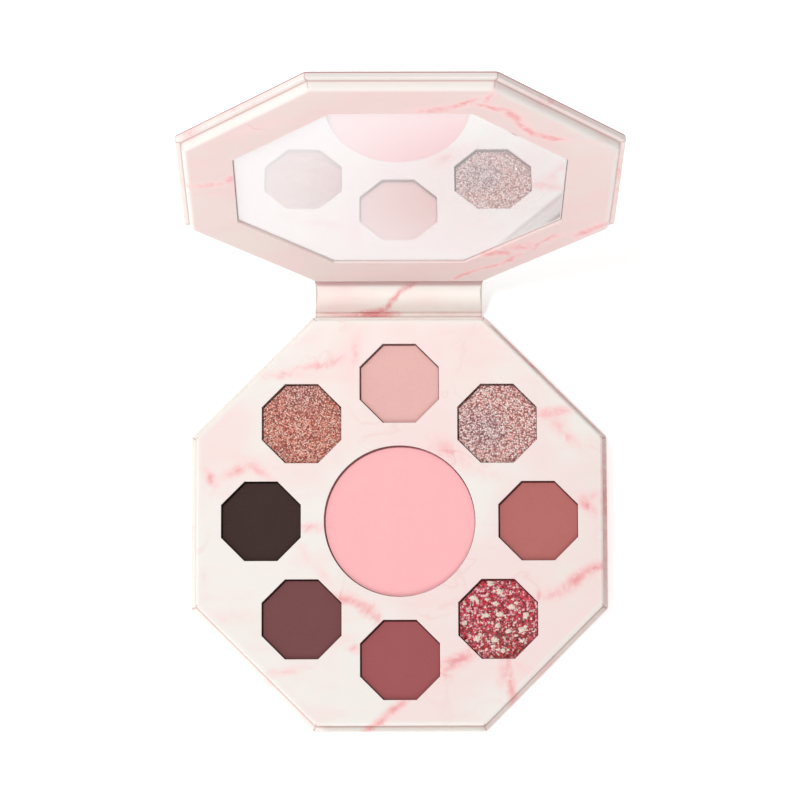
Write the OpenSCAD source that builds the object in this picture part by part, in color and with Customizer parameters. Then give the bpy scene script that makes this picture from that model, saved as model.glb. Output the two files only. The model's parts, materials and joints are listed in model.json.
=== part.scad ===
// Octagonal eyeshadow palette: a book-style case of greyboard wrapped in printed paper.
// The origin is the centre of the base cover's underside. +Y points to the spine, +Z up.
// Cover, spine and lid are drawn lying flat, then folded up at the two creases.

/* [Cover boards] */
// Width of both cover boards across their flats
cover_w = 120; // [112:1:130]
// Thickness of a cover board with its paper
cover_t = 2; // [1.8:0.1:2]
// Thickness of the printed paper
paper_t = 0.2; // [0.15:0.05:0.25]
// Width of the paper turned in round each cover board
turn_in = 12; // [8:1:16]

/* [Spine and creases] */
// Gap between two boards at a crease
crease_gap = 2.4; // [2.4:0.1:3]
// Height of a fold line above the outside of the cover
fold_h = 0.9; // [0.9:0.05:1]
// Thickness of the paper hinge, two papers glued together
crease_t = 0.4; // [0.3:0.05:0.5]
// How far each end of the spine stands in from the end of the cover's edge
spine_inset = 0.6; // [0.2:0.1:2]
// Slope of the spine above the table
spine_angle = 42; // [10:1:85]
// Fold between spine and lid
lid_fold = 31; // [10:1:85]

/* [Tray] */
// Width of the tray and of the mirror frame across their flats
block_w = 116.6; // [115:0.2:118]
// Height of the tray above the base cover
tray_h = 8; // [7.5:0.5:12]
// Thickness of the tray's floor board
floor_t = 1; // [0.8:0.1:1.5]
// Thickness of the tray's wall
wall_t = 1.8; // [1:0.1:2.5]
// Thickness of the face card under its paper
face_t = 0.6; // [0.6:0.1:1.2]
// Bevel round the top of the tray
tray_bevel = 0.6; // [0.4:0.1:0.6]
// Space between the closed tray and the mirror frame
closed_gap = 0.2; // [0.2:0.1:1]

/* [Shades] */
// Radius of the ring on which the small shades lie
ring_r = 39.7; // [39:0.1:40]
// Width of a small window across its flats
window_w = 22.8; // [20:0.1:24]
// Diameter of the round window in the middle
blush_d = 43.4; // [38:0.2:44]
// How far a pan's rim reaches under the face card
rim_hidden = 0.9; // [0.6:0.1:1.2]
// Height of a pan
pan_h = 3.3; // [2.8:0.1:3.3]
// Thickness of a pan's tinplate
pan_t = 0.3; // [0.2:0.05:0.4]
// Depth of the pressed powder below its pan's rim
powder_drop = 0.1; // [0:0.05:0.4]

/* [Mirror] */
// Thickness of the mirror frame with its paper
frame_t = 2.4; // [2.2:0.1:3]
// Bevel round the top of the mirror frame
frame_bevel = 1.2; // [0.4:0.1:1.5]
// Width of the frame's window across its flats
mirror_w = 89.9; // [80:0.1:92]
// Thickness of the mirror
mirror_t = 1.3; // [1:0.1:1.4]
// Thickness of the double-sided tape behind the mirror
tape_t = 0.4; // [0.2:0.1:0.5]
// How far the tape stands in from the window of the frame
tape_inset = 2.5; // [1:0.5:10]

/* [Magnets] */
// Diameter of each closing magnet
magnet_d = 8; // [6:0.5:8]
// Thickness of the magnets in the tray
tray_magnet_t = 3; // [1.5:0.5:3]
// Thickness of the magnets in the lid
lid_magnet_t = 2; // [1:0.5:2]
// Distance of each magnet from the middle of the octagon
magnet_r = 55; // [54.5:0.1:55.5]

/* [Hidden] */
$fn = 96;
// Shades are numbered clockwise from the one nearest the spine.
shades = [1:8];
turn_step = 360 / 8;
half_turn = turn_step / 2;
clear = 0.15;
cut = 1;
inner_w = block_w - 2 * paper_t;
// A bevel loses this much where the paper stops and the board begins.
bevel_loss = (2 - sqrt(2)) * paper_t;
core_w = inner_w - 2 * wall_t - 2 * clear;
tray_top = cover_t + tray_h;
face_z = tray_top - paper_t - face_t;
floor_top = cover_t + floor_t;
holder_z = face_z - pan_h - powder_drop;
pan_w = window_w + 2 * rim_hidden;
blush_pan_d = blush_d + 2 * rim_hidden;
powder_top = holder_z + pan_h - powder_drop;
fold_y = (cover_w + crease_gap) / 2;
closed_h = tray_h + closed_gap + frame_t + 2 * cover_t;
fold_span = closed_h - 2 * fold_h;
spine_w = fold_span - crease_gap;
tape_top = cover_t + tape_t;
spine_l = cover_w * tan(half_turn) - 2 * spine_inset;
lid_y = fold_y + fold_span + fold_y;
lid_fold_y = fold_y + fold_span;

BASE_NODES = ["base_board", "base_wrap", "tray_floor", "tray_wall", "pan_bed", "pan_holder",
  "tray_face", "tray_wrap", "tray_magnets", "blush_pan", "blush_powder"];
SPINE_NODES = ["base_crease", "spine_board", "spine_wrap", "spine_liner", "lid_crease"];
LID_NODES = ["lid_board", "lid_wrap", "mirror_frame", "mirror_frame_wrap", "mirror",
  "mirror_tape", "lid_magnets"];

paper_colour = [0.95, 0.90, 0.88];
board_colour = [0.66, 0.62, 0.56];
card_colour = [0.30, 0.15, 0.16];
tin_colour = [0.80, 0.80, 0.81];
glass_colour = [0.86, 0.88, 0.90];
tape_colour = [0.9, 0.9, 0.86];
shade_colours = [[0.88, 0.70, 0.68], [0.78, 0.66, 0.64], [0.67, 0.41, 0.40], [0.68, 0.30, 0.36],
  [0.61, 0.35, 0.37], [0.37, 0.25, 0.27], [0.24, 0.18, 0.17], [0.69, 0.45, 0.40]];
blush_colour = [0.98, 0.70, 0.71];

// An octagon with a flat on each axis.
module octagon(w) {
  rotate(half_turn) circle(d = w / cos(half_turn), $fn = 8);
}

module plate(w, z0, z1) {
  translate([0, 0, z0]) linear_extrude(z1 - z0) octagon(w);
}

// An octagonal block whose top edges are bevelled.
module bevelled_block(w, z0, z1, bevel) {
  h = w / 2;
  profile = [[-h, z0], [h, z0], [h, z1 - bevel], [h - bevel, z1], [bevel - h, z1], [-h, z1 - bevel]];
  intersection_for (a = [0:3])
    rotate(a * turn_step) rotate([90, 0, 0]) linear_extrude(2 * w, center = true) polygon(profile);
}

// Paper drawn over a bevelled block and down its sides.
module block_paper(z0, z1, bevel) {
  difference() {
    bevelled_block(block_w, z0, z1, bevel);
    bevelled_block(inner_w, z0 - cut, z1 - paper_t, bevel - bevel_loss);
  }
}

// Paper under a cover board, up its edges and turned in over its top.
module cover_paper() {
  difference() {
    plate(cover_w, 0, cover_t);
    plate(cover_w - 2 * paper_t, paper_t, cover_t - paper_t);
    plate(cover_w - 2 * turn_in, cover_t / 2, cover_t + cut);
  }
}

module cover_core() {
  plate(cover_w - 2 * paper_t, paper_t, cover_t - paper_t);
}

module at_shade(i) {
  a = 90 - turn_step * (i - 1);
  translate([ring_r * cos(a), ring_r * sin(a), 0]) children();
}

// Both magnets lie at the corners beside the edge that points along dir (1 or -1) in Y.
module at_magnets(dir) {
  for (side = [-1, 1])
    translate([side * magnet_r * sin(half_turn), dir * magnet_r * cos(half_turn), 0]) children();
}

// Every window of the face, as solids that run from z0 to z1.
module windows(w, d, z0, z1) {
  for (i = shades) at_shade(i) plate(w, z0, z1);
  translate([0, 0, z0]) cylinder(d = d, h = z1 - z0);
}

// A board's place once it has turned by angle about the fold line at y.
module folded(y, angle) {
  translate([0, y, fold_h]) rotate([angle, 0, 0]) translate([0, -y, -fold_h]) children();
}

module spine_place() {
  folded(fold_y, spine_angle) children();
}

module lid_place() {
  spine_place() folded(lid_fold_y, lid_fold) children();
}

// A paper hinge bent along an arc that runs into the middle of both boards.
module crease(y, angle) {
  r = crease_gap / 2 / tan(angle / 2);
  translate([-spine_l / 2, y - crease_gap / 2, fold_h + r])
    rotate([90, 0, 90]) rotate(-90)
      rotate_extrude(angle = angle) translate([r - crease_t / 2, 0]) square([crease_t, spine_l]);
}

module base_board() {
  color(board_colour) cover_core();
}

module base_wrap() {
  color(paper_colour) cover_paper();
}

module tray_floor() {
  color(board_colour) plate(inner_w, cover_t, floor_top);
}

module tray_wall() {
  color(board_colour) difference() {
    plate(inner_w, floor_top, face_z);
    plate(inner_w - 2 * wall_t, floor_top - cut, face_z + cut);
  }
}

module pan_bed() {
  color(board_colour) plate(core_w, floor_top, holder_z);
}

module pan_holder() {
  color(board_colour) difference() {
    plate(core_w, holder_z, face_z);
    windows(pan_w + 2 * clear, blush_pan_d + 2 * clear, holder_z - cut, face_z + cut);
    at_magnets(-1) translate([0, 0, holder_z - cut])
      cylinder(d = magnet_d + 2 * clear, h = tray_h);
  }
}

module tray_face() {
  color(card_colour) difference() {
    bevelled_block(inner_w, face_z, tray_top - paper_t, tray_bevel - bevel_loss);
    windows(window_w, blush_d, face_z - cut, tray_top + cut);
  }
}

module tray_wrap() {
  color(paper_colour) difference() {
    block_paper(cover_t, tray_top, tray_bevel);
    windows(window_w, blush_d, face_z - cut, tray_top + cut);
  }
}

module tray_magnets() {
  color(tin_colour) at_magnets(-1)
    translate([0, 0, holder_z]) cylinder(d = magnet_d, h = tray_magnet_t);
}

module blush_pan() {
  color(tin_colour) difference() {
    translate([0, 0, holder_z]) cylinder(d = blush_pan_d, h = pan_h);
    translate([0, 0, holder_z + pan_t]) cylinder(d = blush_pan_d - 2 * pan_t, h = pan_h);
  }
}

module blush_powder() {
  color(blush_colour) translate([0, 0, holder_z + pan_t])
    cylinder(d = blush_pan_d - 2 * pan_t, h = powder_top - holder_z - pan_t);
}

module pan(i) {
  color(tin_colour) at_shade(i) difference() {
    plate(pan_w, holder_z, holder_z + pan_h);
    plate(pan_w - 2 * pan_t, holder_z + pan_t, holder_z + pan_h + cut);
  }
}

module shade_powder(i) {
  color(shade_colours[i - 1]) at_shade(i)
    plate(pan_w - 2 * pan_t, holder_z + pan_t, powder_top);
}

module base_crease() {
  color(paper_colour) crease(fold_y, spine_angle);
}

// A slab the size of the spine, shorter by inset at each end and longer by over along Y.
module spine_slab(inset, z0, z1, over = 0) {
  translate([inset - spine_l / 2, fold_y + crease_gap / 2 - over, z0])
    cube([spine_l - 2 * inset, spine_w + 2 * over, z1 - z0]);
}

module spine_board() {
  color(board_colour) spine_place() spine_slab(paper_t, paper_t, cover_t - paper_t);
}

// The outer paper, folded up round both ends of the spine board.
module spine_wrap() {
  color(paper_colour) spine_place() difference() {
    spine_slab(0, 0, cover_t - paper_t);
    spine_slab(paper_t, paper_t, cover_t, cut);
  }
}

module spine_liner() {
  color(paper_colour) spine_place() spine_slab(0, cover_t - paper_t, cover_t);
}

module lid_crease() {
  color(paper_colour) spine_place() crease(lid_fold_y, lid_fold);
}

module in_lid() {
  lid_place() translate([0, lid_y, 0]) children();
}

module lid_board() {
  color(board_colour) in_lid() cover_core();
}

module lid_wrap() {
  color(paper_colour) in_lid() cover_paper();
}

module mirror_frame() {
  color(board_colour) in_lid() difference() {
    bevelled_block(inner_w, cover_t, cover_t + frame_t - paper_t, frame_bevel - bevel_loss);
    plate(mirror_w, cover_t - cut, cover_t + frame_t);
    at_magnets(1) translate([0, 0, cover_t - cut])
      cylinder(d = magnet_d + 2 * clear, h = frame_t + 2 * cut);
  }
}

module mirror_frame_wrap() {
  color(paper_colour) in_lid() difference() {
    block_paper(cover_t, cover_t + frame_t, frame_bevel);
    plate(mirror_w, cover_t - cut, cover_t + frame_t + cut);
  }
}

module mirror() {
  color(glass_colour) in_lid()
    plate(mirror_w - 2 * clear, tape_top, tape_top + mirror_t);
}

module mirror_tape() {
  color(tape_colour) in_lid() plate(mirror_w - 2 * tape_inset, cover_t, tape_top);
}

module lid_magnets() {
  color(tin_colour) in_lid() at_magnets(1)
    translate([0, 0, cover_t]) cylinder(d = magnet_d, h = lid_magnet_t);
}

base_board();
base_wrap();
tray_floor();
tray_wall();
pan_bed();
pan_holder();
tray_face();
tray_wrap();
tray_magnets();
blush_pan();
blush_powder();
for (i = shades) pan(i);
for (i = shades) shade_powder(i);
base_crease();
spine_board();
spine_wrap();
spine_liner();
lid_crease();
lid_board();
lid_wrap();
mirror_frame();
mirror_frame_wrap();
mirror();
mirror_tape();
lid_magnets();
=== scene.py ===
"""Looks for an octagonal book-style eyeshadow palette of paper-wrapped board.

Laid out as an add-on: one operator per piece or group of like pieces, one for the stage.
Every size is in metres and MM is a millimetre, but the papers and powders are painted in
millimetres, on the sheets as they lie before they are folded.
"""

import json
import math
import random
from contextlib import contextmanager
from functools import partial

import bpy
from bpy.props import FloatProperty, FloatVectorProperty, PointerProperty
from mathutils import Matrix, Vector


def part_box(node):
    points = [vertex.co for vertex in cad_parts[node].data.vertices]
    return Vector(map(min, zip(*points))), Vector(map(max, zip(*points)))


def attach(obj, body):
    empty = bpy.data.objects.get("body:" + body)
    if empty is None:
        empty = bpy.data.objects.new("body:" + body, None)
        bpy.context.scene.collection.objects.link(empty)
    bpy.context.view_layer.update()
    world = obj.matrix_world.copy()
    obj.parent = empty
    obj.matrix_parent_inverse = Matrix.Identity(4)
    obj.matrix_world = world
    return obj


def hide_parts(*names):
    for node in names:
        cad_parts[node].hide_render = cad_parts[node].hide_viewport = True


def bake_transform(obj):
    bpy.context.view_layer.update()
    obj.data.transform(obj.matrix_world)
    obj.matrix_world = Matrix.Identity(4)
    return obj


bl_info = {
    "name": "Eyeshadow palette",
    "version": (1, 0, 0),
    "blender": (4, 5, 0),
    "location": "3D View > Sidebar > Palette",
    "description": "Papers, pressed powders, mirror and stage of an octagonal eyeshadow palette",
    "category": "Object",
}

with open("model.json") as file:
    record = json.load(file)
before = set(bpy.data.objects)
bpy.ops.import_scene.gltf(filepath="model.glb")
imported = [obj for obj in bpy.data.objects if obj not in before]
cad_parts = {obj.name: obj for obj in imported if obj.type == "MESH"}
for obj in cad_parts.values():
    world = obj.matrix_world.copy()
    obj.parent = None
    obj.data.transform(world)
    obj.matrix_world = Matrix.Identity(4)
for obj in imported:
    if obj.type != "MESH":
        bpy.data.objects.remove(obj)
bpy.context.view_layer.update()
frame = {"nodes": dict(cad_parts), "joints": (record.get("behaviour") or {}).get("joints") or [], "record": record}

MM = 0.001
SIDES = 8
STEP = 2 * math.pi / SIDES
HALF_STEP = STEP / 2
DIAGONAL = math.sqrt(0.5)
# Lengths in metres under which a difference is nothing, and under which two places are one
TINY = 1e-6
NEAR = TINY * 10


# --- Sizes that come from the frame ---


def joint(name):
    """One joint of the record."""
    return next(j for j in frame["joints"] if j["name"] == name)


def width(node):
    """Width of a node along X."""
    lowest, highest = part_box(node)
    return highest.x - lowest.x


def heights(node):
    """Lowest and highest level of a node."""
    return [corner.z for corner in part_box(node)]


COVER_W = width("base_wrap")
COVER_T = heights("base_wrap")[1]
BLOCK_W = width("tray_wrap")
BOARD_W = width("tray_face")
TRAY_TOP = heights("tray_wrap")[1]
PAPER_T = (BLOCK_W - BOARD_W) / 2
PAN_IN_W = width("shade_powder_1")
BLUSH_IN_D = width("blush_powder")
POWDER_BASE, POWDER_TOP = heights("blush_powder")
SPINE_L = width("spine_wrap")
MIRROR_W = width("mirror")
SHADES = range(1, SIDES + 1)


def shade_centre(number):
    """Middle of a shade's pan, on the floor plan."""
    lowest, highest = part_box(f"shade_powder_{number}")
    return (lowest + highest) / 2


def turn_about(point, angle):
    """A turn by angle about the line along X through a point."""
    return Matrix.Translation(point) @ Matrix.Rotation(angle, 4, "X") @ Matrix.Translation(-point)


# The case is drawn flat and then folded up at its two creases, as the real one is made.
BASE_FOLD = Vector(joint("base_fold")["pos_m"])
SPINE_ANGLE = math.radians(-joint("base_fold")["range_deg"][0])
LID_ANGLE = math.radians(-joint("lid_fold")["range_deg"][0])
SPINE_PLACE = turn_about(BASE_FOLD, SPINE_ANGLE)
LID_FOLD_FLAT = SPINE_PLACE.inverted() @ Vector(joint("lid_fold")["pos_m"])
LID_CENTRE_FLAT = Vector((0, LID_FOLD_FLAT.y + BASE_FOLD.y, 0))
LID_PLACE = SPINE_PLACE @ turn_about(LID_FOLD_FLAT, LID_ANGLE) @ Matrix.Translation(LID_CENTRE_FLAT)
CREASE_GAP = 2 * BASE_FOLD.y - COVER_W
BASE_PLACE = Matrix.Identity(4)
SPINE_SHEET_PLACE = SPINE_PLACE @ Matrix.Translation((0, COVER_W / 2, 0))


# --- Settings ---


def amount(label, about, default, **more):
    """A setting that is never below nothing."""
    return FloatProperty(name=label, description=about, default=default, min=0, **more)


def length(label, about, millimetres):
    """A length setting."""
    return amount(label, about, millimetres * MM, precision=5, unit="LENGTH")


def share(label, about, default):
    """A setting from nothing to all."""
    return amount(label, about, default, max=1, subtype="FACTOR")


def colour(label, about, red, green, blue):
    """A colour setting, given as the display values that a swatch shows."""
    linear = [((c + 0.055) / 1.055) ** 2.4 for c in (red, green, blue)]
    return FloatVectorProperty(
        name=label, description=about, default=linear, min=0, max=1, size=3, subtype="COLOR")


class PaletteSizes(bpy.types.PropertyGroup):
    """Sizes that the papers, powders and mirror add to the frame."""

    tray_edge: length("Tray edge", "Radius of the paper round the top of the tray", 0.9)
    frame_edge: length("Frame edge", "Radius of the paper round the mirror frame", 1.6)
    frame_t: length("Frame thickness", "Thickness of the mirror frame with its paper", 2.4)
    cover_edge: length("Cover edge", "Radius of the paper round a cover board", 0.4)
    corner: length("Corner", "Radius of the octagon's upright corners", 1.7)
    frame_corner: length("Frame corner", "Radius of the mirror frame's upright corners", 1.8)
    window_w: length("Window", "Width of a small window across its flats", 22.8)
    blush_window_d: length("Blush window", "Diameter of the round window", 43.4)
    mirror_window_w: length("Mirror window", "Width of the mirror frame's window", 89.9)
    lining: length("Lining", "Thickness of the paper turned down round the mirror", 0.10)
    window_edge: length("Window edge", "Radius of the pressed-in paper at a window", 0.14)
    turn_in: length("Turn-in", "Width of the paper turned in round a cover", 12)
    seam: length("Seam", "Width of the seam where two folded papers meet", 0.16)
    shoulder_gap: length("Shoulder gap", "How far a powder's top stands in from its window", 0.13)
    pan_shift: length("Pan shift", "How far the pans have settled to the front right", 0.19)
    shoulder_drop: length("Shoulder drop", "Height of the steep side round a pressed powder", 2.0)
    side_lean: length("Side lean", "How much wider a powder is at the foot of its top", 0.12)
    tape_t: length("Tape", "Thickness of the tape behind the mirror", 0.4)
    mirror_t: length("Mirror thickness", "Thickness of the mirror", 1.3)
    mirror_arris: length("Arris", "Width of the ground edge round the mirror", 0.45)
    mirror_lean: amount("Mirror lean", "How far the reflection leans towards the spine",
                        math.radians(0.7), subtype="ANGLE", unit="ROTATION")
    crease_waist: length("Crease waist", "Thickness of the paper in the middle of a crease", 0.5)
    spine_bow: share("Spine bow", "How far the ends of the spine bow in", 0.012)


# Slot and colour of each shade, clockwise from the one nearest the spine
SHADE_COLOURS = [
    ("pale_pink", 0.890, 0.700, 0.680),
    ("champagne_shimmer", 0.98, 0.77, 0.73),
    ("rosy_brown", 0.710, 0.42, 0.405),
    ("raspberry_glitter", 0.85, 0.19, 0.29),
    ("rose_wine", 0.625, 0.335, 0.345),
    ("plum_brown", 0.460, 0.280, 0.285),
    ("dark_brown", 0.235, 0.165, 0.155),
    ("copper_rose", 0.91, 0.57, 0.48),
]
# Numbers of the three glitters among the shades, and of the blush after them
CHAMPAGNE, RASPBERRY, COPPER = 2, 4, 8
BLUSH = 9
# Size of a grain in each of the glitters
GLITTERS = {CHAMPAGNE: 0.48 * MM, RASPBERRY: 0.60 * MM, COPPER: 0.39 * MM}


class PaletteColours(bpy.types.PropertyGroup):
    """Colours of the papers, powders, boards and metals."""

    cream: colour("Cream", "Ground colour of the printed paper", 0.937, 0.922, 0.900)
    rosy_white: colour("Rosy white", "Pinker clouds of the printed paper", 0.948, 0.868, 0.856)
    sage_white: colour("Sage white", "Greener clouds of the printed paper", 0.930, 0.905, 0.878)
    vein_wash: colour("Vein wash", "Soft pink beside a vein", 0.960, 0.835, 0.826)
    vein: colour("Vein", "Middle of a vein", 0.945, 0.735, 0.730)
    vein_core: colour("Vein core", "Strongest part of a vein", 0.900, 0.580, 0.590)
    # Fold line: darker paper at folds and seams, and painted shade in the grooves and gaps beside them
    fold_and_shade_line: colour("Fold line", "Paper where it is folded hard", 0.760, 0.560, 0.560)
    greyboard: colour("Greyboard", "Board inside the case", 0.66, 0.62, 0.56)
    # The face card's dark colour is painted shade: it darkens the windows' walls to stand for the shadow there
    card: colour("Face card", "Dyed card under the tray's paper", 0.30, 0.15, 0.16)
    tinplate: colour("Tinplate", "Pans", 0.80, 0.80, 0.81)
    plating: colour("Plating", "Magnets", 0.78, 0.78, 0.79)
    silver: colour("Silver", "Mirror coating", 0.94, 0.955, 0.96)
    glass_edge: colour("Glass edge", "Edge of the mirror", 0.86, 0.90, 0.92)
    tape: colour("Tape", "Foam of the mirror tape", 0.90, 0.90, 0.86)
    blush: colour("Blush", "Pressed blush", 0.995, 0.720, 0.730)
    flake: colour("Flake", "Pearl flakes in the raspberry glitter", 0.935, 0.860, 0.800)
    floor: colour("Floor", "Floor under the palette", 0.985, 0.985, 0.985)


for number, (label, *rgb) in enumerate(SHADE_COLOURS, 1):
    PaletteColours.__annotations__[f"shade_{number}"] = colour(
        label.replace("_", " ").capitalize(), "Pressed eyeshadow", *rgb)


class PaletteStage(bpy.types.PropertyGroup):
    """Camera, lights and floor."""

    lens: amount("Lens", "Focal length in millimetres", 155.1)
    camera_at: FloatVectorProperty(
        name="Camera", description="Place of the camera",
        default=(-6.35 * MM, -74.06 * MM, 994.5 * MM), subtype="TRANSLATION", unit="LENGTH")
    camera_turn: FloatVectorProperty(
        name="Camera turn", description="Tilt, sway and roll of the camera",
        default=[math.radians(a) for a in (6.31, -0.38, -0.14)], subtype="EULER", unit="ROTATION")
    key_power: amount("Key light", "Power of the light from behind, to the left", 7.4, unit="POWER")
    side_power: amount("Side light", "Power of the low light at the left", 2.6, unit="POWER")
    front_power: amount("Front light", "Power of the light in front", 8.2, unit="POWER")
    sky: amount("Sky", "Strength of the even light all round", 0.42)
    floor_glow: amount("Floor glow", "Light that the floor gives back", 0.34)
    floor_w: length("Floor", "Width of the floor", 14000)


# --- Modelling helpers ---

# Segments of a bevel: an upright corner, the top of tray and frame, a cover's edge, a fine edge
CORNER_SEGMENTS, BLOCK_SEGMENTS, COVER_SEGMENTS, FINE_SEGMENTS = 4, 5, 3, 2
# Sides of the round window and of the blush
ROUND_SIDES = 128


def only(*pieces):
    """Selects these pieces and nothing else, and makes the last one active."""
    bpy.ops.object.select_all(action="DESELECT")
    for piece in pieces:
        piece.select_set(True)
    bpy.context.view_layer.objects.active = pieces[-1]


def settle(piece, place=BASE_PLACE):
    """Moves a piece to its place and leaves its object at the origin, unturned and unscaled."""
    only(piece)
    piece.matrix_world = place @ piece.matrix_world
    bpy.ops.object.transform_apply(location=True, rotation=True, scale=True)
    return piece


def added(name):
    """The piece that was just added, named and settled."""
    bpy.context.object.name = name
    return settle(bpy.context.object)


def middle(piece, element):
    """Middle of a face, an edge or a vertex."""
    if hasattr(element, "co"):
        return element.co
    ends = [piece.data.vertices[v].co for v in element.vertices]
    return sum(ends, Vector()) / len(ends)


@contextmanager
def editing(piece, kind="FACE", chosen=lambda element: False):
    """Edit mode on one piece with only its chosen vertices, edges or faces selected."""
    only(piece)
    mesh = piece.data
    groups = {"VERT": mesh.vertices, "EDGE": mesh.edges, "FACE": mesh.polygons}
    picked = [chosen(element) for element in groups[kind]]
    for group in groups.values():
        group.foreach_set("select", [False] * len(group))
    groups[kind].foreach_set("select", picked)
    bpy.context.tool_settings.mesh_select_mode = [kind == k for k in groups]
    bpy.ops.object.mode_set(mode="EDIT")
    yield piece
    bpy.ops.object.mode_set(mode="OBJECT")


def apply(piece, kind, **settings):
    """Adds a modifier to a piece, sets it and applies it."""
    only(piece)
    bpy.ops.object.modifier_add(type=kind)
    modifier = piece.modifiers[-1]
    for name, value in settings.items():
        setattr(modifier, name, value)
    bpy.ops.object.modifier_apply(modifier=modifier.name)


def carve(piece, *cutters):
    """Takes the cutters out of a piece and throws them away."""
    for cutter in cutters:
        apply(piece, "BOOLEAN", operation="DIFFERENCE", solver="EXACT", object=cutter)
        bpy.data.objects.remove(cutter)


def joined(pieces):
    """Several pieces made one."""
    only(*pieces)
    bpy.ops.object.join()
    return bpy.context.object


def octagon(name, width, z0, z1, at=(0, 0)):
    """An octagonal block with a flat on each axis."""
    bpy.ops.mesh.primitive_cylinder_add(
        vertices=SIDES, radius=width / 2 / math.cos(HALF_STEP), depth=z1 - z0,
        location=(at[0], at[1], (z0 + z1) / 2), rotation=(0, 0, HALF_STEP))
    return added(name)


def is_upright(piece, edge):
    """Whether an edge runs along Z."""
    a, b = (piece.data.vertices[v].co for v in edge.vertices)
    return abs(a.z - b.z) > TINY and (a - b).xy.length < TINY


def is_level(piece, edge, z):
    """Whether an edge lies at one height."""
    return all(abs(piece.data.vertices[v].co.z - z) < TINY for v in edge.vertices)


def bevel(width, segments):
    """Rounds the selected edges."""
    bpy.ops.mesh.bevel(offset=width, offset_type="OFFSET", segments=segments, affect="EDGES")


def soft_octagon(name, width, z0, z1, corner, edge, segments, *levels):
    """An octagonal block with soft corners, its edges rounded at some levels."""
    block = octagon(name, width, z0, z1)
    with editing(block, "EDGE", lambda e: is_upright(block, e)):
        bevel(corner * math.tan(HALF_STEP), CORNER_SEGMENTS)
    with editing(block, "EDGE", lambda e: any(is_level(block, e, z) for z in levels)):
        bevel(edge, segments)
    return block


def hollow_block(name, z1, edge, corner, *cores):
    """The paper over a block of board, which stands on the cover and is rounded at its top."""
    paper = soft_octagon(name, BLOCK_W, COVER_T, z1, corner, edge, BLOCK_SEGMENTS, z1)
    z1 -= PAPER_T
    inside = soft_octagon(
        "inside", BOARD_W, 0, z1, corner - PAPER_T, edge - PAPER_T, BLOCK_SEGMENTS, z1)
    carve(inside, *cores)
    return paper, inside


def finish(piece, body, material, slot, *stands_for, smooth=35, shaded=True):
    """Smooths a piece, gives it its material and ties it to its body."""
    only(piece)
    bpy.ops.object.shade_smooth_by_angle(angle=math.radians(smooth))
    if shaded:
        apply(piece, "WEIGHTED_NORMAL", keep_sharp=True, weight=100)
    piece.data.materials.clear()
    piece.data.materials.append(material)
    if body:
        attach(piece, body)
    if stands_for:
        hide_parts(*stands_for)
    return piece


# --- Materials ---


class Value:
    """A shader socket that can be used in arithmetic: each operator adds a Math node."""

    def __init__(self, paint, socket):
        self.paint = paint
        self.socket = socket

    def math(self, operation, *others, clamp=False):
        """A Math node with this value first."""
        return self.paint.maths(operation, self, *others, clamp=clamp)

    def __add__(self, other):
        return self.math("ADD", other)

    def __sub__(self, other):
        return self.math("SUBTRACT", other)

    def __rsub__(self, other):
        return self.paint.maths("SUBTRACT", other, self)

    def __mul__(self, other):
        return self.math("MULTIPLY", other)

    def __pow__(self, other):
        return self.math("POWER", other)

    __radd__ = __add__
    __rmul__ = __mul__

    def between(self, start, end):
        """0 before start, 1 after end, and a soft step between them."""
        settings = {"interpolation_type": "SMOOTHSTEP"}
        sockets = {"Value": self, "From Min": start, "From Max": end}
        return self.paint.node("MapRange", settings, sockets)


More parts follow.
